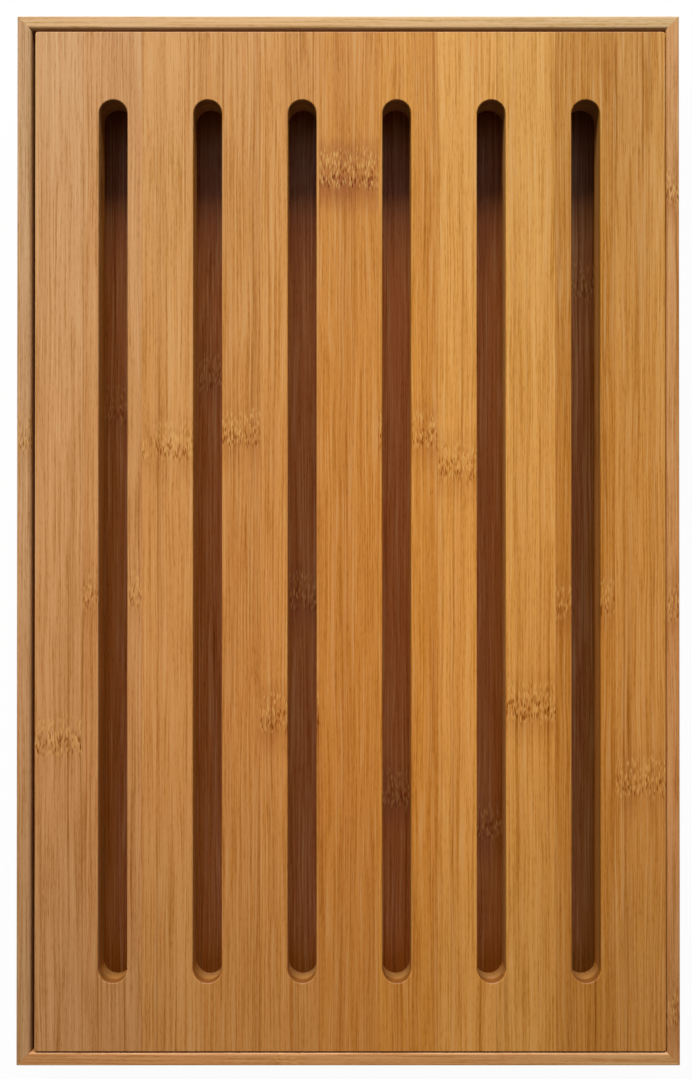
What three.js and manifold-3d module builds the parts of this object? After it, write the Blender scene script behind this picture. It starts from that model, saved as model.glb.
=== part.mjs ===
// Bread board with crumb catcher, all in oiled bamboo.
// A slotted board, glued up from flat strips, lies loose on two ledges inside a shallow mitred tray.
// Crumbs fall through the slots onto the tray's floor, and the board lifts straight out to empty it.
// Millimetres. X runs across, Y along (the back is +Y) and Z up, from the middle of the footprint.

import * as THREE from "three";
import { mergeVertices } from "three/addons/utils/BufferGeometryUtils.js";
import Module from "manifold-3d";

const wasm = await Module();
wasm.setup();

// Tray
const trayWidth = 240;
const trayLength = 380;
const trayHeight = 35;
const trayCornerRadius = 0.8;
const wallThickness = 4.8;
const wallEasing = 0.5; // rounding of the outer arrises
const rimEasing = 1; // rounding of the inner arrises
const pocketCornerRadius = 0.2; // where two walls meet inside

// Floor of the tray, let into grooves in the four walls
const floorThickness = 5;
const floorRecess = 1; // from the table up to the floor's underside
const floorCornerRadius = 0.6;
const floorEasing = 0.3;
const grooveDepth = 2;
const grooveClearance = 0.15;

// Ledges that carry the board, one along each short wall
const ledgeWidth = 12;
const ledgeEasing = 1.2;

// Board
const boardThickness = 15;
const boardCornerRadius = 1;
const boardEasing = 0.5;
const sideClearance = 0.9; // to each long wall when the board lies in the middle
const endClearance = 0.4;
const seatClearance = 0.2; // above the ledges
const boardShiftShares = { x: 0.667, y: -0.25 }; // the loose board lies a little right and forward

// Bamboo strips that both panels are glued up from
const boardStripCount = 11;
const leftTrim = 3.8; // planed off the board's outer strips to bring it to its width
const rightTrim = 3;
const floorStripCount = 11;
const glueLine = 0.1;

// Slots through the board, set out in strip widths so that none leaves a sliver beside a glue line
const slotCount = 6;
const slotWidth = 10;
const slotEndMargin = 24.9;
const slotEasing = 0.6;
const firstSlotShare = 0.5; // from the first glue line
const slotPitchShare = 1.602;

// How finely curves are drawn, and how far a cutter runs past what it cuts
const easingSteps = 4;
const cornerSteps = 4;
const slotEndSteps = 14;
const leastCornerShare = 0.125; // of a corner's radius, kept where its easing takes the rest
const overrun = 5;

// Sizes that follow
const innerWidth = trayWidth - 2 * wallThickness;
const innerLength = trayLength - 2 * wallThickness;
const floorTop = floorRecess + floorThickness;
const boardSize = {
  width: innerWidth - 2 * sideClearance,
  length: innerLength - 2 * endClearance,
  height: boardThickness,
};
const boardStrip = (boardSize.width + leftTrim + rightTrim) / boardStripCount;
const boardBottom = trayHeight - boardThickness; // the board lies flush with the rim
const boardPlace = new THREE.Vector3(
  sideClearance * boardShiftShares.x,
  endClearance * boardShiftShares.y,
  boardBottom,
);

// Bamboo tones, from the palest strip to the darkest
const tones = { straw: 0xd3a06c, honey: 0xcb9252, amber: 0xc4863f, caramel: 0xb57a42 };
const boardTones = [
  "straw", "caramel", "honey", "amber", "honey", "amber",
  "amber", "honey", "honey", "caramel", "amber",
];
const floorTones = ["caramel", "amber", "caramel", "honey"];

function bamboo(tone) {
  return new THREE.MeshStandardMaterial({ color: tones[tone], roughness: 0.5, metalness: 0 });
}

// Solids and meshes

function solidOf(geometry) {
  const bare = geometry.clone();
  bare.deleteAttribute("normal");
  bare.deleteAttribute("uv");
  const merged = mergeVertices(bare);
  return new wasm.Manifold(
    new wasm.Mesh({
      numProp: 3,
      vertProperties: merged.getAttribute("position").array,
      triVerts: new Uint32Array(merged.getIndex().array),
    }),
  );
}

function geometryOf(solid) {
  const mesh = solid.getMesh();
  const geometry = new THREE.BufferGeometry();
  geometry.setAttribute("position", new THREE.BufferAttribute(mesh.vertProperties, mesh.numProp));
  geometry.setIndex(new THREE.BufferAttribute(mesh.triVerts, 1));
  const faceted = geometry.toNonIndexed();
  faceted.computeVertexNormals();
  return faceted;
}

function namedMesh(name, solid, tone) {
  const mesh = new THREE.Mesh(geometryOf(solid), bamboo(tone));
  mesh.name = name;
  return mesh;
}

// Joins level outlines, each with as many points as the next, into one closed body.
function loft(rings) {
  const count = rings[0].length;
  const points = rings.flat();
  const triangles = [];
  for (let level = 0; level + 1 < rings.length; level++) {
    for (let i = 0; i < count; i++) {
      const here = level * count + i;
      const next = level * count + ((i + 1) % count);
      triangles.push(here, next, next + count, here, next + count, here + count);
    }
  }
  const top = (rings.length - 1) * count;
  for (let i = 1; i + 1 < count; i++) {
    triangles.push(0, i + 1, i, top, top + i, top + i + 1);
  }
  const geometry = new THREE.BufferGeometry().setFromPoints(points);
  geometry.setIndex(triangles);
  return solidOf(geometry);
}

// A convex outline of equal arcs about the given centres, seen from above and run anticlockwise.
function arcOutline(centres, firstAngle, radius, steps) {
  const sweep = (2 * Math.PI) / centres.length;
  return centres.flatMap(([x, y], i) => {
    const start = firstAngle + i * sweep;
    return new THREE.EllipseCurve(x, y, radius, radius, start, start + sweep).getPoints(steps);
  });
}

function rectangleOutline(width, length, radius) {
  const x = width / 2 - radius;
  const y = length / 2 - radius;
  const centres = [[x, -y], [x, y], [-x, y], [-x, -y]];
  return arcOutline(centres, -Math.PI / 2, radius, cornerSteps);
}

function slotOutline(width, length) {
  const y = (length - width) / 2;
  return arcOutline([[0, y], [0, -y]], 0, width / 2, slotEndSteps);
}

function atHeight(outline, z) {
  return outline.map((point) => new THREE.Vector3(point.x, point.y, z));
}

// Levels of a body whose lower and upper edges are rounded: how far each is set in, and its height.
function easedLevels(height, easing) {
  const lower = [];
  for (let i = 0; i <= easingSteps; i++) {
    const angle = (i / easingSteps) * (Math.PI / 2);
    lower.push({ inset: easing * (1 - Math.sin(angle)), z: easing * (1 - Math.cos(angle)) });
  }
  const upper = lower.map(({ inset, z }) => ({ inset, z: height - z })).reverse();
  return [...lower, ...upper];
}

// A rectangular block with rounded upright corners and eased arrises, standing at z = 0.
function easedBlock({ width, length, height }, cornerRadius, easing) {
  const rings = easedLevels(height, easing).map(({ inset, z }) => {
    const radius = Math.max(cornerRadius - inset, cornerRadius * leastCornerShare);
    return atHeight(rectangleOutline(width - 2 * inset, length - 2 * inset, radius), z);
  });
  return loft(rings);
}

// A cutter whose mouth flares at both faces of what it goes through, so that it leaves eased rims.
function flaredCutter(outlineAt, height, easing) {
  const rings = easedLevels(height, easing).map(({ inset, z }) => atHeight(outlineAt(inset), z));
  const mouth = outlineAt(easing);
  return loft([atHeight(mouth, -overrun), ...rings, atHeight(mouth, height + overrun)]);
}

function box(width, length, height) {
  return solidOf(new THREE.BoxGeometry(width, length, height).translate(0, 0, height / 2));
}

// Glued-up panels

// Saws a panel into strips, each narrower by half a glue line at each joint.
// The first glue line is firstStrip from the panel's left edge, and the others follow a strip apart.
function sawIntoStrips(panel, { width, length, height }, count, firstStrip, strip) {
  return Array.from({ length: count }, (_, i) => {
    const joint = firstStrip + i * strip;
    const from = i === 0 ? -overrun : joint - strip + glueLine / 2;
    const to = i === count - 1 ? width + overrun : joint - glueLine / 2;
    const slab = box(to - from, length + 2 * overrun, height + 2 * overrun);
    return panel.intersect(slab.translate([(from + to - width) / 2, 0, -overrun]));
  });
}

function numbered(prefix, i) {
  return prefix + String(i + 1).padStart(2, "0");
}

// Board: the blank, its slots, then the strips that it is glued up from

function slotCutters() {
  const length = boardSize.length - 2 * slotEndMargin;
  const cutter = flaredCutter(
    (flare) => slotOutline(slotWidth + 2 * flare, length + 2 * flare),
    boardThickness,
    slotEasing,
  );
  const firstGlueLine = boardStrip - leftTrim - boardSize.width / 2;
  return Array.from({ length: slotCount }, (_, i) => {
    const share = firstSlotShare + i * slotPitchShare;
    return cutter.translate([firstGlueLine + share * boardStrip, 0, 0]);
  });
}

function makeBoard() {
  const blank = easedBlock(boardSize, boardCornerRadius, boardEasing);
  const slotted = slotCutters().reduce((board, cutter) => board.subtract(cutter), blank);
  const firstStrip = boardStrip - leftTrim;
  const board = new THREE.Group();
  sawIntoStrips(slotted, boardSize, boardStripCount, firstStrip, boardStrip).forEach((strip, i) => {
    board.add(namedMesh(numbered("board_stave_", i), strip, boardTones[i % boardTones.length]));
  });
  board.position.copy(boardPlace);
  return board;
}

// Tray: a frame of four walls mitred at the corners, the floor in its groove, and the ledges

function trayFrame() {
  const outside = { width: trayWidth, length: trayLength, height: trayHeight };
  const pocket = flaredCutter(
    (flare) => rectangleOutline(innerWidth + 2 * flare, innerLength + 2 * flare, pocketCornerRadius),
    trayHeight,
    rimEasing,
  );
  const groove = box(
    innerWidth + 2 * grooveDepth,
    innerLength + 2 * grooveDepth,
    floorThickness + 2 * grooveClearance,
  ).translate([0, 0, floorRecess - grooveClearance]);
  return easedBlock(outside, trayCornerRadius, wallEasing).subtract(pocket).subtract(groove);
}

// The wedge of the frame that one wall keeps: its ends run at 45 degrees through the corners.
function mitreWedge(wallLength, wallOffset) {
  const joint = glueLine * Math.SQRT1_2;
  const depth = 2 * wallThickness;
  const outer = wallLength / 2 + overrun - joint;
  const inner = wallLength / 2 - depth - joint;
  const outline = new THREE.Shape([
    new THREE.Vector2(-outer, wallOffset + overrun),
    new THREE.Vector2(-inner, wallOffset - depth),
    new THREE.Vector2(inner, wallOffset - depth),
    new THREE.Vector2(outer, wallOffset + overrun),
  ]);
  const height = trayHeight + 2 * overrun;
  const prism = new THREE.ExtrudeGeometry(outline, { depth: height, bevelEnabled: false });
  return solidOf(prism).translate([0, 0, -overrun]);
}

function makeWalls() {
  const frame = trayFrame();
  const sides = [
    { name: "back", length: trayWidth, offset: trayLength / 2, tone: "straw" },
    { name: "left", length: trayLength, offset: trayWidth / 2, tone: "honey" },
    { name: "front", length: trayWidth, offset: trayLength / 2, tone: "amber" },
    { name: "right", length: trayLength, offset: trayWidth / 2, tone: "caramel" },
  ];
  return sides.map(({ name, length, offset, tone }, quarterTurns) => {
    const wedge = mitreWedge(length, offset).rotate([0, 0, 90 * quarterTurns]);
    return namedMesh("tray_wall_" + name, frame.intersect(wedge), tone);
  });
}

function makeFloor() {
  const reach = grooveDepth - grooveClearance;
  const size = {
    width: innerWidth + 2 * reach,
    length: innerLength + 2 * reach,
    height: floorThickness,
  };
  const panel = easedBlock(size, floorCornerRadius, floorEasing);
  const floorStrip = size.width / floorStripCount;
  const floor = new THREE.Group();
  sawIntoStrips(panel, size, floorStripCount, floorStrip, floorStrip).forEach((strip, i) => {
    floor.add(namedMesh(numbered("floor_stave_", i), strip, floorTones[i % floorTones.length]));
  });
  floor.position.z = floorRecess;
  return floor;
}

function makeLedges() {
  const bottom = floorTop + glueLine;
  const size = {
    width: innerWidth - 2 * glueLine,
    length: ledgeWidth,
    height: boardBottom - seatClearance - bottom,
  };
  const bar = easedBlock(size, ledgeEasing, ledgeEasing);
  const reach = innerLength / 2 - glueLine - ledgeWidth / 2;
  return [
    { name: "tray_ledge_back", y: reach },
    { name: "tray_ledge_front", y: -reach },
  ].map(({ name, y }) => {
    const ledge = namedMesh(name, bar, "honey");
    ledge.position.set(0, y, bottom);
    return ledge;
  });
}

const breadBoard = new THREE.Group();
breadBoard.add(...makeWalls(), makeFloor(), ...makeLedges(), makeBoard());

export default breadBoard;
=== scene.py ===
import math
from functools import partial

import bmesh
import bpy
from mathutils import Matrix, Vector


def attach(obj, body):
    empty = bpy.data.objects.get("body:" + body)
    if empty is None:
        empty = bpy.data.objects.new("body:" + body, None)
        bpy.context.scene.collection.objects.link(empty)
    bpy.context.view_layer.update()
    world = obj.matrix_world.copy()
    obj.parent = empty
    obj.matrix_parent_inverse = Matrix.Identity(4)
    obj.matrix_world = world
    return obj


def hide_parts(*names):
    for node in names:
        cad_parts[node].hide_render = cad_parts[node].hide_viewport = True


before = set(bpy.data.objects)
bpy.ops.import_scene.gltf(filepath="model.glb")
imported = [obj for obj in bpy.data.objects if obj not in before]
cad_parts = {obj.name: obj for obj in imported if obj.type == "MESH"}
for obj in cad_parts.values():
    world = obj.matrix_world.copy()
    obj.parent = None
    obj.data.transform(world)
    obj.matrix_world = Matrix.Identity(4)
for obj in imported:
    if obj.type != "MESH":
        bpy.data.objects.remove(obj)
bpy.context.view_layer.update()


def mm(value):
    return value / 1000


def linearColour(hexCode):
    # sRGB hex to the linear red, green, blue and alpha that Blender works in
    parts = [int(hexCode[i:i + 2], 16) / 255 for i in (1, 3, 5)]
    return (*[p / 12.92 if p <= 0.04045 else ((p + 0.055) / 1.055) ** 2.4 for p in parts], 1)


def addNode(tree, kind, inputs=None, **settings):
    # a node given as an input is linked by its first live output
    node = tree.nodes.new(kind)
    for name, value in settings.items():
        setattr(node, name, value)
    for key, value in (inputs or {}).items():
        if isinstance(value, bpy.types.Node):
            value = next(socket for socket in value.outputs if socket.enabled)
        if isinstance(value, bpy.types.NodeSocket):
            tree.links.new(value, node.inputs[key])
        else:
            node.inputs[key].default_value = value
    return node


def addSockets(tree, sockets):
    for name, kind, inOut in sockets:
        socketType = "NodeSocket" + kind
        tree.interface.new_socket(name=name, socket_type=socketType, in_out=inOut)


def putInScene(name, data):
    thing = bpy.data.objects.new(name, data)
    bpy.context.scene.collection.objects.link(thing)
    return thing


# Bamboo, flat-pressed and oiled: straight fine fibres under a satin skin, broken by growth rings

# the strips' own colours, before the grain darkens them
bambooTones = {
    "tan": "#c58d56",
    "oat": "#c2874d",
    "wheat": "#c88a46",
    "sand": "#c28139",
    "resin": "#c18233",
    "honey": "#c8863c",
    "amber": "#c37d2a",
    "ochre": "#ca842b",
    "gold": "#d29341",
    "maize": "#d59340",
    "russet": "#b87720",
    "straw": "#d0aa7a",
    "flax": "#bb8c5e",
    "chestnut": "#b6621a",
    "copper": "#ad5d14",
    "rust": "#a65914",
    "umber": "#975515",
}

# width across the grain and length along it, in mm
bambooGrain = {
    "bundle": (1.5, 260),  # from one dark fibre bundle to the next
    "fibre": (0.62, 60),
    "fleck": (0.42, 3.2),
    "band": (5.5, 300),  # broad bands in which the bundles show or fade
    "stroke": (0.46, 2.3),  # pale and brown strokes inside a growth ring
    "sway": (13, 55),  # how the fibres wander from side to side
    "ringWave": (8, 60),  # how a ring's line waves from strip edge to strip edge
    "ringJag": (1, 9),  # and how fibre by fibre it is jagged
}

bambooReach = {
    "sway": 1.8,  # mm from side to side
    "ringLine": 5,  # mm along the grain, for the waves and for the jags
    "ringPlace": 200,  # furthest that a ring lies from the middle, in mm
    "ownPattern": (300, 900, 300),  # mm over which the strips draw their own place in the pattern
    "fray": 0.22,  # how strongly the flecks break up the long fibre lines
}

# value at which each mark begins, at which it is full, and its strength then
bambooMarks = {
    "bundleCore": (0.42, 0.1),
    "bundleLine": (0.38, 0.64, 0.85),
    "bandShade": (0.42, 0.62, 0.38),
    "fibreLine": (0.595, 0.785, 0.68),
    "fleckLine": (0.45, 0.75, 0.36),
    "paleFibre": (0.5, 0.32, 0.2),
    # in the rings: a stroke's outline, then which strokes are pale, brown or faint
    "strokeShape": (0.7, 0.25),
    "paleStroke": (0.4, 0.7, 0.6),
    "brownStroke": (0.6, 0.3, 0.95),
    "faintStroke": (0.4, 0.15, 0.8),
    # mm past a ring's line, towards the front
    "zoneStart": (-10, -7),
    "lineStart": (-4, -0.5),
    "ringEnd": (7, 3),
    "stainUnder": (-1.5, 2),
    "stainOver": (-15, -9, 0.5),
    "stainEnd": (18, 4),
    "stainBand": (0.15, 0.5),
    # mm in front of or behind the middle
    "towardsFront": (120, -190),
    "backHalf": (-20, 180),
    "frontHalf": (-50, -175),
    # real glue lines are 0.05 mm, drawn wider so that a pixel can hold them
    "glueLine": (0.2, 0.05, 0.3),
    # from a slight tilt on, so the rounded edges of the slot ends take the end grain's colour,
    # partly as painted shade
    "endFacing": (0.2, 0.7),
}

# what multiplies the colour so far; the pale ones and the end grain are mixed in instead
bambooTints = {
    "bundle": "#dacb9a",
    "band": "#e9dec1",
    "fibre": "#dacb96",
    "fleck": "#dccfa4",
    "paleFibre": "#e8c188",
    "stain": "#d0b24c",
    "paleStroke": "#ddaa5c",
    "faintStroke": "#dac478",
    "brownStroke": "#cbab4c",
    "glue": "#bfa375",
    "endGrainAndShade": "#a0713c",
    "upperEndTint": "#ccb58a",
}

bambooFinish = {
    "endGrainAndShadeShare": 0.75,
    "upperEndBlend": 1.5,  # mm over which the darker upper end grain begins
    "skinGloss": 0.44,  # of the skin between the fibres
    "bundleLoss": -0.22,
    "fibreLoss": -0.26,
    "fleckLoss": -0.1,
    "strokeLoss": -0.3,
    "smootherBy": 0.05,  # how the roughness varies with the flecks
    "rougherBy": 0.07,
    "strokeDepth": 1.5,  # a stroke's depth as a share of a bundle's
    "bundleDepth": 0.05,  # mm
    "ior": 1.5,
}


def fillRamp(ramp, stops):
    ramp.interpolation = "CONSTANT"
    ramp.elements.remove(ramp.elements[1])
    ramp.elements[0].position = 0
    ramp.elements[0].color = stops[0][1]
    for place, colour in stops[1:]:
        ramp.elements.new(place).color = colour


def bambooMaterial(name, look):
    grain, marks, tints = bambooGrain, bambooMarks, bambooTints
    reach, finish = bambooReach, bambooFinish
    material = bpy.data.materials.new(name)
    material.use_nodes = True
    tree = material.node_tree
    tree.nodes.clear()
    node = partial(addNode, tree)

    def stretched(place, cell):
        # squeezes the pattern so that one cell is that many mm across and along the grain
        width, length = cell
        size = (1 / width, 1 / length, 1 / width)
        return node("ShaderNodeVectorMath", {0: place, 1: size}, operation="MULTIPLY")

    def between(value, low, high, most=1.0):
        # 0 at low, rising smoothly to most at high; low may be the larger
        limits = {"Value": value, "From Min": low, "From Max": high, "To Max": most}
        return node("ShaderNodeMapRange", limits, interpolation_type="SMOOTHSTEP")

    def both(first, second):
        return node("ShaderNodeMath", {0: first, 1: second}, operation="MULTIPLY")

    def tint(colour, by, amount):
        # multiplies the colour so far by a tint, as strongly as amount says
        sides = {0: amount, 6: colour, 7: linearColour(by)}
        return node("ShaderNodeMix", sides, data_type="RGBA", blend_type="MULTIPLY")

    # where on the piece, in mm: x across the grain, y along it
    coordinates = node("ShaderNodeTexCoord").outputs
    size = {0: coordinates["Object"], "Scale": 1000}
    inMm = node("ShaderNodeVectorMath", size, operation="SCALE")
    turn = (0, 0, math.radians(look["grainTurn"]))
    turned = node("ShaderNodeMapping", {"Vector": inMm, "Rotation": turn})
    across, along, up = node("ShaderNodeSeparateXYZ", {0: turned}).outputs
    turnedNormal = node("ShaderNodeMapping", {"Vector": coordinates["Normal"], "Rotation": turn})
    facing = node("ShaderNodeSeparateXYZ", {0: turnedNormal}).outputs

    # which strip and which ply
    stripPlace = up if look["stripsStacked"] else across
    fromLine = node("ShaderNodeMath", {0: stripPlace, 1: look["firstLine"]}, operation="SUBTRACT")
    fromPly = node("ShaderNodeMath", {0: up, 1: look["firstPly"]}, operation="SUBTRACT")
    strip = node("ShaderNodeMath", {0: fromLine, 1: look["stripWidth"]}, operation="DIVIDE")
    strip = node("ShaderNodeMath", {0: strip}, operation="FLOOR")
    ply = node("ShaderNodeMath", {0: fromPly, 1: look["plyThickness"]}, operation="DIVIDE")
    ply = node("ShaderNodeMath", {0: ply}, operation="FLOOR")

    # a lower ply takes the tone and ring of a strip further along
    shift = look["plyShift"]
    further = {0: ply, 1: -shift, 2: shift * look["topPly"]}
    borrowed = node("ShaderNodeMath", further, operation="MULTIPLY_ADD")
    moved = node("ShaderNodeMath", {0: strip, 1: borrowed}, operation="ADD")
    count = len(look["strips"])
    source = node("ShaderNodeMath", {0: moved, 1: count, 2: 0}, operation="WRAP")
    middleOfStop = {0: source, 1: 1 / count, 2: 0.5 / count}
    share = node("ShaderNodeMath", middleOfStop, operation="MULTIPLY_ADD")
    tones = node("ShaderNodeValToRGB", {0: share})
    rings = node("ShaderNodeValToRGB", {0: share})
    furthest = reach["ringPlace"]
    toneStops, ringStops = [], []
    for i, (tone, ringPlace, strength, brownness) in enumerate(look["strips"]):
        packed = (ringPlace / (2 * furthest) + 0.5, strength, brownness, 1)
        toneStops.append((i / count, linearColour(bambooTones[tone])))
        ringStops.append((i / count, packed))
    fillRamp(tones.color_ramp, toneStops)
    fillRamp(rings.color_ramp, ringStops)
    ringShare, ringStrength, ringBrownness = node("ShaderNodeSeparateColor", {0: rings}).outputs

    # every strip of every ply has its own part of the pattern
    which = node("ShaderNodeCombineXYZ", {0: strip, 1: ply, 2: look["seed"]})
    draw = node("ShaderNodeTexWhiteNoise", {"Vector": which}, noise_dimensions="3D")
    own = {0: draw.outputs["Color"], 1: reach["ownPattern"], 2: turned}
    shifted = node("ShaderNodeVectorMath", own, operation="MULTIPLY_ADD")

    # fibres wander a little from side to side
    cell = stretched(shifted, grain["sway"])
    sway = node("ShaderNodeTexNoise", {"Vector": cell, "Scale": 1, "Detail": 1})
    push = {0: sway.outputs["Color"], 1: (reach["sway"], 0, reach["sway"]), 2: shifted}
    wander = node("ShaderNodeVectorMath", push, operation="MULTIPLY_ADD")
    cell = stretched(wander, grain["bundle"])
    bundle = node("ShaderNodeTexVoronoi", {"Vector": cell, "Scale": 1, "Randomness": 1})
    cell = stretched(wander, grain["fibre"])
    fine = {"Vector": cell, "Scale": 1, "Detail": 3, "Roughness": 0.6}
    fibre = node("ShaderNodeTexNoise", fine)
    cell = stretched(wander, grain["fleck"])
    fine = {"Vector": cell, "Scale": 1, "Detail": 2, "Roughness": 0.6}
    fleck = node("ShaderNodeTexNoise", fine)
    cell = stretched(wander, grain["band"])
    band = node("ShaderNodeTexNoise", {"Vector": cell, "Scale": 1, "Detail": 2})

    # dark bundles, fine lines frayed by flecks, and paler fibres between them
    bundleDark = between(bundle.outputs["Distance"], *marks["bundleCore"])
    bundleLine = both(bundleDark, between(band, *marks["bundleLine"]))
    fraying = {0: fleck, 1: reach["fray"], 2: fibre}
    frayed = node("ShaderNodeMath", fraying, operation="MULTIPLY_ADD")
    fibreLine = between(frayed, *marks["fibreLine"])
    fleckLine = between(fleck, *marks["fleckLine"])
    colour = tint(tones.outputs["Color"], tints["bundle"], bundleLine)
    colour = tint(colour, tints["band"], between(band, *marks["bandShade"]))
    colour = tint(colour, tints["fibre"], fibreLine)
    colour = tint(colour, tints["fleck"], fleckLine)
    paleFibre = between(fibre, *marks["paleFibre"])
    sides = {0: paleFibre, 6: colour, 7: linearColour(tints["paleFibre"])}
    colour = node("ShaderNodeMix", sides, data_type="RGBA")

    # growth ring: how far towards the front of its wavy, jagged line
    placed = {0: ringShare, 1: 2 * furthest, 2: -furthest}
    ringAt = node("ShaderNodeMath", placed, operation="MULTIPLY_ADD")
    past = node("ShaderNodeMath", {0: ringAt, 1: along}, operation="SUBTRACT")
    half = look["ringSpacing"] / 2
    past = node("ShaderNodeMath", {0: past, 1: half, 2: -half}, operation="WRAP")
    for unevenness in ("ringWave", "ringJag"):
        cell = stretched(shifted, grain[unevenness])
        uneven = node("ShaderNodeTexNoise", {"Vector": cell, "Scale": 1, "Detail": 1})
        bent = {0: uneven, 1: reach["ringLine"], 2: past}
        past = node("ShaderNodeMath", bent, operation="MULTIPLY_ADD")
    past = node("ShaderNodeMath", {0: past, 1: reach["ringLine"]}, operation="SUBTRACT")

    # a brown stain on both sides of the line, then short strokes along the fibres
    cell = stretched(wander, grain["stroke"])
    stroke = node("ShaderNodeTexVoronoi", {"Vector": cell, "Scale": 1, "Randomness": 1})
    strokeShape = between(stroke.outputs["Distance"], *marks["strokeShape"])
    strokeDraw = node("ShaderNodeSeparateColor", {0: stroke.outputs["Color"]})
    ringEnd, stainEnd = between(past, *marks["ringEnd"]), between(past, *marks["stainEnd"])
    ringZone = both(ringStrength, both(between(past, *marks["zoneStart"]), ringEnd))
    ringLine = both(ringStrength, both(between(past, *marks["lineStart"]), ringEnd))
    paleChosen = both(strokeShape, between(strokeDraw, *marks["paleStroke"]))
    brownChosen = both(strokeShape, between(strokeDraw, *marks["brownStroke"]))
    faintChosen = both(strokeShape, between(strokeDraw, *marks["faintStroke"]))
    paleStroke, faintStroke = both(ringZone, paleChosen), both(ringZone, faintChosen)
    brownStroke = both(ringLine, brownChosen)
    under = both(between(past, *marks["stainUnder"]), stainEnd)
    over = both(between(past, *marks["stainOver"]), stainEnd)
    stained = node("ShaderNodeMath", {0: under, 1: over}, operation="MAXIMUM")
    stainBand = both(stained, between(band, *marks["stainBand"]))
    colour = tint(colour, tints["stain"], both(ringBrownness, stainBand))
    sides = {0: paleStroke, 6: colour, 7: linearColour(tints["paleStroke"])}
    colour = node("ShaderNodeMix", sides, data_type="RGBA")
    colour = tint(colour, tints["faintStroke"], faintStroke)
    colour = tint(colour, tints["brownStroke"], brownStroke)

    # painted shade along a piece: darker towards the front, and darker at both ends, which leaves
    # the middle looking the most lit and the reddest
    colour = tint(colour, look["frontPaintedShade"], between(along, *marks["towardsFront"]))
    halves = {0: between(along, *marks["backHalf"]), 1: between(along, *marks["frontHalf"])}
    ends = node("ShaderNodeMath", halves, operation="MAXIMUM")
    colour = tint(colour, look["endsPaintedShade"], ends)

    # glue lines between strips and between plies
    half = look["stripWidth"] / 2
    toLine = node("ShaderNodeMath", {0: fromLine, 1: half}, operation="PINGPONG")
    half = look["plyThickness"] / 2
    toPly = node("ShaderNodeMath", {0: fromPly, 1: half}, operation="PINGPONG")
    nearest = node("ShaderNodeMath", {0: toLine, 1: toPly}, operation="MINIMUM")
    colour = tint(colour, tints["glue"], between(nearest, *marks["glueLine"]))

    # end grain is browner, and on the rounded edges of the slot ends the browner colour is also
    # painted shade over their highlight; above a given height the end grain is darker still
    endFacing = node("ShaderNodeMath", {0: facing[1]}, operation="ABSOLUTE")
    endGrainAndShade = between(endFacing, *marks["endFacing"])
    depth = finish["upperEndBlend"]
    upperEnd = between(up, look["upperEndFrom"] - depth, look["upperEndFrom"] + depth)
    browner = both(endGrainAndShade, finish["endGrainAndShadeShare"])
    sides = {0: browner, 6: colour, 7: linearColour(tints["endGrainAndShade"])}
    colour = node("ShaderNodeMix", sides, data_type="RGBA")
    colour = tint(colour, tints["upperEndTint"], both(endGrainAndShade, upperEnd))

    # bundles and strokes are sunk by a few hundredths of a millimetre
    strokes = node("ShaderNodeMath", {0: faintStroke, 1: brownStroke}, operation="ADD")
    depths = {0: strokes, 1: finish["strokeDepth"], 2: bundleDark}
    sunk = node("ShaderNodeMath", depths, operation="MULTIPLY_ADD")
    relief = {"Height": sunk, "Strength": look["bump"], "Distance": mm(finish["bundleDepth"])}
    bump = node("ShaderNodeBump", relief, invert=True)

    # open fibres drink the oil and stay dull, the skin between them is satin
    rough = {
        "Value": fleck, "From Min": 0.3, "From Max": 0.7,
        "To Min": look["roughness"] - finish["smootherBy"],
        "To Max": look["roughness"] + finish["rougherBy"],
    }
    gloss = finish["skinGloss"]
    for line, loss in (
        (bundleLine, "bundleLoss"), (fibreLine, "fibreLoss"),
        (fleckLine, "fleckLoss"), (brownStroke, "strokeLoss"),
    ):
        duller = {0: line, 1: finish[loss], 2: gloss}
        gloss = node("ShaderNodeMath", duller, operation="MULTIPLY_ADD", use_clamp=True)
    surface = node("ShaderNodeBsdfPrincipled", {
        "Base Color": colour, "Roughness": node("ShaderNodeMapRange", rough),
        "Normal": bump, "IOR": finish["ior"], "Specular IOR Level": gloss,
    })
    node("ShaderNodeOutputMaterial", {"Surface": surface})
    return material


# Board, floor and ledges: one tree makes an eased panel, with or without a row of slots

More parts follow.
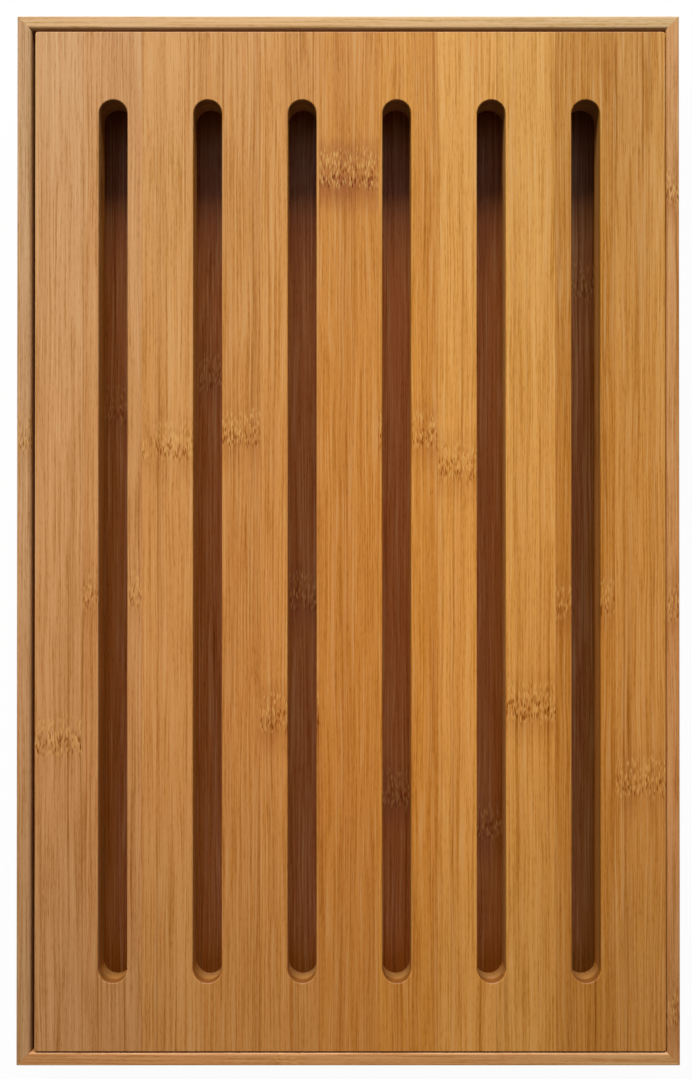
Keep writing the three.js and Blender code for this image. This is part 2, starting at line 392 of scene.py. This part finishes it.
def easedWallTree():
    # a wall along a closed path: straight, with its top and bottom edges rounded over
    tree = bpy.data.node_groups.new("easedWall", "GeometryNodeTree")
    addSockets(tree, [
        ("Path", "Geometry", "INPUT"),
        ("Thickness", "Float", "INPUT"),
        ("Easing", "Float", "INPUT"),
        ("Easing Steps", "Int", "INPUT"),
        ("Side", "Float", "INPUT"),  # 1 where the path is an outline, -1 where it is an opening
        ("Wall", "Geometry", "OUTPUT"),
    ])
    node = partial(addNode, tree)
    given = node("NodeGroupInput").outputs
    steps = {0: given["Easing Steps"], 1: 2, 2: 2}
    points = node("ShaderNodeMath", steps, operation="MULTIPLY_ADD")
    halfCircle = {
        "Resolution": points, "Radius": given["Easing"],
        "Start Angle": math.pi, "Sweep Angle": -math.pi,
    }
    arc = node("GeometryNodeCurveArc", halfCircle, mode="RADIUS")
    place = node("ShaderNodeSeparateXYZ", {0: node("GeometryNodeInputPosition")}).outputs

    # the half circle is pulled apart by the straight height of the wall
    lessEasing = node("ShaderNodeMath", {0: given["Easing"], 1: -1}, operation="MULTIPLY")
    straight = {0: given["Thickness"], 1: 0.5, 2: lessEasing}
    reach = node("ShaderNodeMath", straight, operation="MULTIPLY_ADD")
    upOrDown = node("ShaderNodeMath", {0: place[0]}, operation="SIGN")
    pulled = {0: upOrDown, 1: reach, 2: place[0]}
    height = node("ShaderNodeMath", pulled, operation="MULTIPLY_ADD")
    inset = node("ShaderNodeMath", {0: place[1], 1: given["Easing"]}, operation="SUBTRACT")
    outward = node("ShaderNodeMath", {0: inset, 1: given["Side"]}, operation="MULTIPLY")
    position = node("ShaderNodeCombineXYZ", {0: outward, 1: height})
    profile = node("GeometryNodeSetPosition", {"Geometry": arc, "Position": position})
    swept = {"Curve": given["Path"], "Profile Curve": profile}
    node("NodeGroupOutput", {"Wall": node("GeometryNodeCurveToMesh", swept)})
    return tree


def easedPanelTree():
    tree = bpy.data.node_groups.new("easedPanel", "GeometryNodeTree")
    addSockets(tree, [
        ("Geometry", "Geometry", "INPUT"),
        ("Centre", "Vector", "INPUT"),
        ("Width", "Float", "INPUT"),
        ("Length", "Float", "INPUT"),
        ("Thickness", "Float", "INPUT"),
        ("Corner Radius", "Float", "INPUT"),
        ("Edge Easing", "Float", "INPUT"),
        ("Slot Count", "Int", "INPUT"),
        ("First Slot", "Vector", "INPUT"),
        ("Slot Pitch", "Float", "INPUT"),
        ("Slot Width", "Float", "INPUT"),
        ("Slot Length", "Float", "INPUT"),
        ("Slot Easing", "Float", "INPUT"),
        ("Slot End Steps", "Int", "INPUT"),
        ("Easing Steps", "Int", "INPUT"),
        ("Material", "Material", "INPUT"),
        ("Geometry", "Geometry", "OUTPUT"),
    ])
    tree.is_modifier = True
    node = partial(addNode, tree)
    given = node("NodeGroupInput").outputs
    wallTree = easedWallTree()

    # the panel's outline
    sides = {"Width": given["Width"], "Height": given["Length"]}
    outline = node("GeometryNodeCurvePrimitiveQuadrilateral", sides, mode="RECTANGLE")
    corners = {
        "Curve": outline, "Radius": given["Corner Radius"], "Count": 6, "Limit Radius": True,
    }
    rounded = node("GeometryNodeFilletCurve", corners, mode="POLY")
    edge = node("GeometryNodeGroup", node_tree=wallTree, inputs={
        "Path": rounded, "Thickness": given["Thickness"], "Easing": given["Edge Easing"],
        "Easing Steps": given["Easing Steps"], "Side": 1,
    })

    # one slot is a circle pulled apart lengthwise; a line of points carries the row
    radius = node("ShaderNodeMath", {0: given["Slot Width"], 1: 0.5}, operation="MULTIPLY")
    around = node("ShaderNodeMath", {0: given["Slot End Steps"], 1: 2}, operation="MULTIPLY")
    ring = {"Resolution": around, "Radius": radius}
    circle = node("GeometryNodeCurvePrimitiveCircle", ring, mode="RADIUS")
    halfStep = node("ShaderNodeMath", {0: math.pi, 1: around}, operation="DIVIDE")
    rotation = node("ShaderNodeCombineXYZ", {2: halfStep})
    circle = node("GeometryNodeTransform", {"Geometry": circle, "Rotation": rotation})
    place = node("ShaderNodeSeparateXYZ", {0: node("GeometryNodeInputPosition")}).outputs
    lessRadius = node("ShaderNodeMath", {0: radius, 1: -1}, operation="MULTIPLY")
    straight = {0: given["Slot Length"], 1: 0.5, 2: lessRadius}
    reach = node("ShaderNodeMath", straight, operation="MULTIPLY_ADD")
    backOrFront = node("ShaderNodeMath", {0: place[1]}, operation="SIGN")
    pull = node("ShaderNodeMath", {0: backOrFront, 1: reach}, operation="MULTIPLY")
    offset = node("ShaderNodeCombineXYZ", {1: pull})
    slot = node("GeometryNodeSetPosition", {"Geometry": circle, "Offset": offset})
    pitch = node("ShaderNodeCombineXYZ", {0: given["Slot Pitch"]})
    line = {"Count": given["Slot Count"], "Start Location": given["First Slot"], "Offset": pitch}
    row = node("GeometryNodeMeshLine", line, mode="OFFSET")
    copies = node("GeometryNodeInstanceOnPoints", {"Points": row, "Instance": slot})
    slots = node("GeometryNodeRealizeInstances", {"Geometry": copies})
    slotWall = node("GeometryNodeGroup", node_tree=wallTree, inputs={
        "Path": slots, "Thickness": given["Thickness"], "Easing": given["Slot Easing"],
        "Easing Steps": given["Easing Steps"], "Side": -1,
    })
    walls = node("GeometryNodeJoinGeometry", {0: edge})
    inwards = node("GeometryNodeFlipFaces", {"Mesh": slotWall})
    tree.links.new(inwards.outputs[0], walls.inputs[0])

    # the flat faces are filled between the walls' own open edges
    height = node("ShaderNodeSeparateXYZ", {0: node("GeometryNodeInputPosition")}).outputs[2]
    oneFace = {2: node("GeometryNodeInputMeshEdgeNeighbors"), 3: 1}
    openEdge = node("FunctionNodeCompare", oneFace, data_type="INT", operation="EQUAL")
    parts = [walls]
    for side in (1, -1):
        outwards = node("ShaderNodeMath", {0: height, 1: side}, operation="MULTIPLY")
        isHere = node("ShaderNodeMath", {0: outwards, 1: 0}, operation="GREATER_THAN")
        chosen = node("FunctionNodeBooleanMath", {0: openEdge, 1: isHere}, operation="AND")
        loops = node("GeometryNodeMeshToCurve", {"Mesh": walls, "Selection": chosen})
        flat = node("GeometryNodeFillCurve", {"Curve": loops}, mode="NGONS")
        halfThickness = {0: given["Thickness"], 1: side / 2}
        level = node("ShaderNodeMath", halfThickness, operation="MULTIPLY")
        raised = {"Geometry": flat, "Translation": node("ShaderNodeCombineXYZ", {2: level})}
        flat = node("GeometryNodeTransform", raised)
        parts.append(flat if side == 1 else node("GeometryNodeFlipFaces", {"Mesh": flat}))
    whole = node("GeometryNodeJoinGeometry")
    for part in parts:
        tree.links.new(part.outputs[0], whole.inputs[0])
    closed = node("GeometryNodeMergeByDistance", {"Geometry": whole, "Distance": mm(0.002)})
    smooth = node("GeometryNodeSetShadeSmooth", {"Geometry": closed, "Shade Smooth": True})
    moved = {"Geometry": smooth, "Translation": given["Centre"]}
    placed = node("GeometryNodeTransform", moved)
    real = node("GeometryNodeRealizeInstances", {"Geometry": placed})
    dressed = {"Geometry": real, "Material": given["Material"]}
    node("NodeGroupOutput", {0: node("GeometryNodeSetMaterial", dressed)})
    return tree


def settleMesh(piece):
    # modifiers become a plain mesh; large faces keep their own normals, so only edges shade round
    even = piece.modifiers.new("evenNormals", "WEIGHTED_NORMAL")
    even.weight = 100
    even.keep_sharp = True
    depsgraph = bpy.context.evaluated_depsgraph_get()
    finished = piece.evaluated_get(depsgraph)
    plain = bpy.data.meshes.new_from_object(
        finished, preserve_all_data_layers=True, depsgraph=depsgraph)
    piece.modifiers.clear()
    piece.data = plain
    plain.name = piece.name


def makePanel(name, tree, sizes, material):
    piece = putInScene(name, bpy.data.meshes.new(name + "Seed"))
    grow = piece.modifiers.new("grow", "NODES")
    grow.node_group = tree
    for item in tree.interface.items_tree:
        if item.in_out != "INPUT":
            continue
        if item.name == "Material":
            grow[item.identifier] = material
        elif item.name in sizes:
            value = sizes[item.name]
            if item.socket_type == "NodeSocketFloat":
                value = mm(value)
            elif item.socket_type == "NodeSocketVector":
                value = [mm(v) for v in value]
            grow[item.identifier] = value
    settleMesh(piece)
    # the empty first material slot goes
    piece.data.materials.clear()
    piece.data.materials.append(material)
    piece.data.polygons.foreach_set("material_index", [0] * len(piece.data.polygons))
    return piece


panelTree = easedPanelTree()

# places and sizes are in mm; heights are from the table
boardLook = {
    "grainTurn": 0,  # degrees from the piece's own length
    "stripsStacked": False,  # side by side, not one above the other
    "stripWidth": 21.4,
    "firstLine": -117.498,  # first glue line, off the board's left edge
    "plyThickness": 5.2,
    "firstPly": 19.7,
    "topPly": 2,
    "plyShift": 4,  # strips along that a lower ply borrows its tones from
    # painted shade along the board: towards the front, and at both ends
    "frontPaintedShade": "#f6ebe1",
    "endsPaintedShade": "#f2f9ff",
    "upperEndFrom": 29.5,  # height above which the end grain is darker still
    "ringSpacing": 420,
    "seed": 14,
    "bump": 0.3,
    "roughness": 0.46,
    # each strip from the left: tone, how far its ring is behind the middle, strength, brownness
    "strips": [
        ("tan", -73.3, 0.9, 0.1),
        ("oat", -20.7, 0.7, 0.2),
        ("wheat", 34.1, 0.8, 0.3),
        ("sand", 38.7, 0.9, 0.3),
        ("honey", -64.3, 1, 0.6),
        ("amber", 132.9, 1, 1),
        ("ochre", 37.8, 0.9, 0.4),
        ("maize", 26.5, 0.9, 0.35),
        ("gold", -59.8, 1, 0.4),
        ("russet", -23.2, 0.7, 0.3),
        ("resin", -87.5, 0.9, 0.3),
    ],
}

boardSizes = {
    "Centre": (0.75, -0.3, 27.5),
    "Width": 228.6,
    "Length": 369.6,
    "Thickness": 15,
    "Corner Radius": 1.0,
    "Edge Easing": 0.4,
    "Slot Count": 6,
    "First Slot": (-86, 0, 0),  # from the board's own middle
    "Slot Pitch": 34.2828,
    "Slot Width": 10.4,
    "Slot Length": 319.8,
    "Slot Easing": 0.55,
    "Slot End Steps": 16,
    "Easing Steps": 6,
}

# Bamboo board, glued up and oiled: satin, straight-fibred, with broken rings and darker slot ends
boardBamboo = bambooMaterial("bambooBoardOiled", boardLook)
board = makePanel("boardPanel", panelTree, boardSizes, boardBamboo)
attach(board, "board")
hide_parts(*[f"board_stave_{i:02d}" for i in range(1, 12)])
print("board: slotted panel made, faces", len(board.data.polygons))


# Tray floor: dark strips on top, and the pale ones of its lower ply on the underside
floorLook = dict(
    boardLook,
    stripWidth=21.282,
    firstLine=-117.05,
    plyThickness=3,
    firstPly=3.5,
    topPly=0,
    plyShift=11,
    seed=8,
    roughness=0.4,
    frontPaintedShade="#ffffff",
    endsPaintedShade="#ffffff",
    strips=[
        ("copper", -140, 0.6, 0.3),
        ("rust", 50, 0.5, 0.3),
        ("copper", 62, 0.6, 0.3),
        ("copper", 62, 0.6, 0.3),
        ("rust", -21, 0.7, 0.5),
        ("copper", 120, 0.6, 0.3),
        ("chestnut", -96, 0.7, 0.5),
        ("copper", -108.5, 0.7, 0.5),
        ("copper", -108.5, 0.8, 0.5),
        ("umber", 98, 0.5, 0.3),
        ("copper", -30, 0.6, 0.3),
        # the underside
        ("oat", 80, 0.8, 0.2),
        ("sand", -60, 0.7, 0.3),
        ("wheat", 120, 0.9, 0.4),
        ("oat", -20, 0.7, 0.2),
        ("honey", 150, 0.8, 0.3),
        ("sand", -120, 0.9, 0.4),
        ("tan", 35, 0.8, 0.2),
        ("wheat", -90, 0.7, 0.3),
        ("oat", 100, 0.9, 0.4),
        ("sand", 10, 0.7, 0.3),
        ("tan", -150, 0.8, 0.2),
    ],
)

floorSizes = {
    "Centre": (0, 0, 3.5),
    "Width": 234.1,
    "Length": 374.1,
    "Thickness": 5,
    "Corner Radius": 0.6,
    "Edge Easing": 0.3,
    "Slot Count": 0,
    "Easing Steps": 3,
    "Slot End Steps": 4,
}

# Bamboo, oiled: a dark red-brown that the light through the slots only just shows
floorBamboo = bambooMaterial("bambooFloorOiled", floorLook)
floor = makePanel("trayFloor", panelTree, floorSizes, floorBamboo)
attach(floor, "tray")
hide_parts(*[f"floor_stave_{i:02d}" for i in range(1, 12)])
print("tray floor made")


# Ledges inside the short walls: each is one strip in one ply
ledgeLook = dict(
    boardLook,
    grainTurn=90,
    stripWidth=40,
    firstLine=-200,
    plyThickness=40,
    firstPly=-5,
    topPly=0,
    seed=21,
    roughness=0.55,
    ringSpacing=300,
    strips=[("sand", 60, 0.7, 0.3)],
)

ledgeSizes = {
    "Width": 229.8,
    "Length": 12,
    "Thickness": 13.7,
    "Corner Radius": 1.2,
    "Edge Easing": 1.2,
    "Slot Count": 0,
    "Easing Steps": 5,
    "Slot End Steps": 4,
}

ledgeCentres = {
    "back": (0.2, 179.1, 12.95),
    "front": (0.2, -179.1, 12.95),
}

# Planed bamboo strip, oiled once: duller than the board, its grain along the ledge
ledgeBamboo = bambooMaterial("bambooLedgeOiled", ledgeLook)
for side, centre in ledgeCentres.items():
    sizes = dict(ledgeSizes, Centre=centre)
    ledge = makePanel("trayLedge" + side.capitalize(), panelTree, sizes, ledgeBamboo)
    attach(ledge, "tray")
    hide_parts("tray_ledge_" + side)
print("tray ledges made")


# Tray walls, mitred at the corners and grooved for the floor

wallSizes = {
    "halfWidth": 120,
    "halfLength": 190,
    "height": 35,
    "thickness": 4.8,
    "cornerRadius": 0.3,
    "outerEasing": 0.3,
    "innerEasing": 1.3,
    "bottomEasing": 0.5,
    "grooveBottom": 0.85,
    "grooveTop": 6.15,
    "grooveDepth": 2,
    "mitreGap": 0.008,
    "arcSteps": 5,
    "sharpAngle": 30,  # edges sharper than this, in degrees, stay crisp
}


def arcPoints(centre, radius, startAngle, endAngle, steps):
    sweep = endAngle - startAngle
    angles = [math.radians(startAngle + sweep * i / steps) for i in range(steps + 1)]
    return [(centre[0] + radius * math.cos(a), centre[1] + radius * math.sin(a)) for a in angles]


def wallSection(sizes):
    # inward and upward from the outer bottom corner
    outer, inner, bottom = sizes["outerEasing"], sizes["innerEasing"], sizes["bottomEasing"]
    thick, high, steps = sizes["thickness"], sizes["height"], sizes["arcSteps"]
    low, top = sizes["grooveBottom"], sizes["grooveTop"]
    groove = thick - sizes["grooveDepth"]
    points = arcPoints((bottom, bottom), bottom, 270, 180, steps)
    points += arcPoints((outer, high - outer), outer, 180, 90, steps)
    points += arcPoints((thick - inner, high - inner), inner, 90, 0, steps)
    points += [(thick, top), (groove, top), (groove, low), (thick, low)]
    points += arcPoints((thick - bottom, bottom), bottom, 0, -90, steps)
    return points


def makeWall(name, plan, sizes, material):
    radius, steps = sizes["cornerRadius"], sizes["arcSteps"]
    gap = sizes["mitreGap"] * math.sqrt(2)
    alongAxis, inwardAxis = Vector(plan["along"]), Vector(plan["inward"])
    shape = bmesh.new()
    rings = []
    turns = [math.radians(45 * i / steps) for i in range(steps + 1)]
    for end, turn in [(-1, t) for t in reversed(turns)] + [(1, t) for t in turns]:
        ring = []
        for inward, up in wallSection(sizes):
            # outside the corner radius the wall bends round the corner, inside it ends at the mitre
            bend = max(radius - inward, 0)
            along = plan["half"] - max(radius, inward) + bend * math.sin(turn) - gap
            inset = max(radius, inward) - bend * math.cos(turn)
            point = alongAxis * (end * along) + inwardAxis * (inset - plan["reach"])
            point += Vector((0, 0, up))
            ring.append(shape.verts.new(point / 1000))
        rings.append(ring)
    for low, high in zip(rings, rings[1:]):
        for i in range(len(low)):
            j = (i + 1) % len(low)
            shape.faces.new((low[i], low[j], high[j], high[i]))
    shape.faces.new(rings[0])
    shape.faces.new(rings[-1])
    bmesh.ops.remove_doubles(shape, verts=shape.verts, dist=mm(0.001))
    bmesh.ops.recalc_face_normals(shape, faces=shape.faces)
    for face in shape.faces:
        face.smooth = True
    crisp = math.radians(sizes["sharpAngle"])
    for edge in shape.edges:
        # the groove and the mitres keep their sharp edges
        edge.smooth = len(edge.link_faces) == 2 and edge.calc_face_angle(0) < crisp
    mesh = bpy.data.meshes.new(name)
    shape.to_mesh(mesh)
    shape.free()
    mesh.materials.append(material)
    wall = putInScene(name, mesh)
    settleMesh(wall)
    return wall


# every wall is two strips high, with one glue line half way up
wallLook = dict(
    boardLook,
    stripsStacked=True,
    stripWidth=17.6,
    firstLine=0,
    plyThickness=80,
    firstPly=-5,
    topPly=0,
    roughness=0.48,
)

halfWidth, halfLength = wallSizes["halfWidth"], wallSizes["halfLength"]
acrossWall = {"half": halfWidth, "along": (1, 0, 0), "reach": halfLength, "turn": 90}
lengthWall = {"half": halfLength, "along": (0, 1, 0), "reach": halfWidth, "turn": 0}

# each wall's strips from the bottom up, and how its sizes differ; the left one is the thickest
wallPlan = {
    "back": dict(
        acrossWall, inward=(0, -1, 0), seed=31, ringSpacing=420, sizes={},
        strips=[("tan", 40, 0.7, 0.3), ("straw", -150, 0.6, 0.2)],
    ),
    "left": dict(
        lengthWall, inward=(1, 0, 0), seed=41, ringSpacing=420,
        sizes={"thickness": 5.2, "innerEasing": 1.5, "grooveDepth": 2.4},
        strips=[("oat", -90, 0.7, 0.3), ("flax", 36.7, 0.7, 0.3)],
    ),
    "front": dict(
        acrossWall, inward=(0, 1, 0), seed=51, ringSpacing=420, sizes={},
        strips=[("sand", 70, 0.7, 0.3), ("tan", -22.9, 0.6, 0.2)],
    ),
    "right": dict(
        lengthWall, inward=(-1, 0, 0), seed=61, ringSpacing=148.5, sizes={},
        strips=[("sand", 20, 0.7, 0.3), ("oat", -22.9, 0.9, 0.4)],
    ),
}

# Bamboo walls, sanded and oiled: satin, the grain along each wall, a ring here and there
for side, plan in wallPlan.items():
    look = dict(wallLook, grainTurn=plan["turn"])
    look.update({key: plan[key] for key in ("seed", "ringSpacing", "strips")})
    bamboo = bambooMaterial("bambooWall" + side.capitalize() + "Oiled", look)
    sizes = dict(wallSizes, **plan["sizes"])
    wall = makeWall("trayWall" + side.capitalize(), plan, sizes, bamboo)
    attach(wall, "tray")
    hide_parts("tray_wall_" + side)
print("tray walls made")


# Camera, straight above the board

cameraSetup = {
    "lens": 55,
    "place": (-0.8, -4.3, 632),  # mm
    "shift": (0.0, 0.0035),
    "tilt": 0.3,  # degrees
    "nearest": 0.01,  # metres
    "furthest": 20,
}

cameraData = bpy.data.cameras.new("camera")
cameraData.lens = cameraSetup["lens"]
cameraData.shift_x, cameraData.shift_y = cameraSetup["shift"]
cameraData.clip_start = cameraSetup["nearest"]
cameraData.clip_end = cameraSetup["furthest"]
camera = putInScene("camera", cameraData)
camera.location = [mm(v) for v in cameraSetup["place"]]
camera.rotation_euler = (math.radians(cameraSetup["tilt"]), 0, 0)
bpy.context.scene.camera = camera


# Studio: one wide soft lamp behind and to the left, a pale floor, an even room

# in metres and watts
studio = {
    "lampPlace": (-0.27, 1.92, 1.32),
    "lampSize": (1.8, 0.9),
    "lampPower": 94,
    "roomLight": 0.12,
    "floorReach": 8,
    "floorColour": "#e6e6e6",
    "floorShare": 0.04,  # how much of the object's shadow the white floor shows
    "floorDrop": 0.02,  # mm below the tray
}

lampData = bpy.data.lights.new("softbox", "AREA")
lampData.shape = "RECTANGLE"
lampData.size, lampData.size_y = studio["lampSize"]
lampData.energy = studio["lampPower"]
lamp = putInScene("softbox", lampData)
lamp.location = studio["lampPlace"]
lamp.rotation_euler = (-Vector(studio["lampPlace"])).to_track_quat("-Z", "Y").to_euler()


def seenOrMirrored(node):
    # 1 where the camera or a mirror image looks, 0 where light falls on the object
    ray = node("ShaderNodeLightPath").outputs
    rays = {0: ray["Is Camera Ray"], 1: ray["Is Glossy Ray"]}
    return node("ShaderNodeMath", rays, operation="MAXIMUM")


world = bpy.data.worlds.new("room")
world.use_nodes = True
world.node_tree.nodes.clear()
roomNode = partial(addNode, world.node_tree)
levels = {"Value": seenOrMirrored(roomNode), "To Min": studio["roomLight"], "To Max": 1}
strength = roomNode("ShaderNodeMapRange", levels)
white = roomNode("ShaderNodeBackground", {"Color": (1, 1, 1, 1), "Strength": strength})
roomNode("ShaderNodeOutputWorld", {0: white})
bpy.context.scene.world = world

# Plain white paper sweep: matt, and white to the eye but for the object's shadow
ground = bpy.data.materials.new("paperFloor")
ground.use_nodes = True
ground.node_tree.nodes.clear()
groundNode = partial(addNode, ground.node_tree)
plainWhite = {0: seenOrMirrored(groundNode), 1: 1 - studio["floorShare"]}
share = groundNode("ShaderNodeMath", plainWhite, operation="MULTIPLY")
paper = groundNode("ShaderNodeBsdfDiffuse", {"Color": linearColour(studio["floorColour"])})
glow = groundNode("ShaderNodeEmission", {"Color": (1, 1, 1, 1), "Strength": 1})
mixed = groundNode("ShaderNodeMixShader", {0: share, 1: paper, 2: glow})
groundNode("ShaderNodeOutputMaterial", {0: mixed})

reach = studio["floorReach"]
corners = [(-reach, -reach, 0), (reach, -reach, 0), (reach, reach, 0), (-reach, reach, 0)]
sweep = bpy.data.meshes.new("sweep")
sweep.from_pydata(corners, [], [(0, 1, 2, 3)])
sweep.materials.append(ground)
backdrop = putInScene("studioFloor", sweep)
backdrop.location.z = mm(-studio["floorDrop"])

bpy.context.scene.view_settings.view_transform = "Standard"
print("camera and studio made")
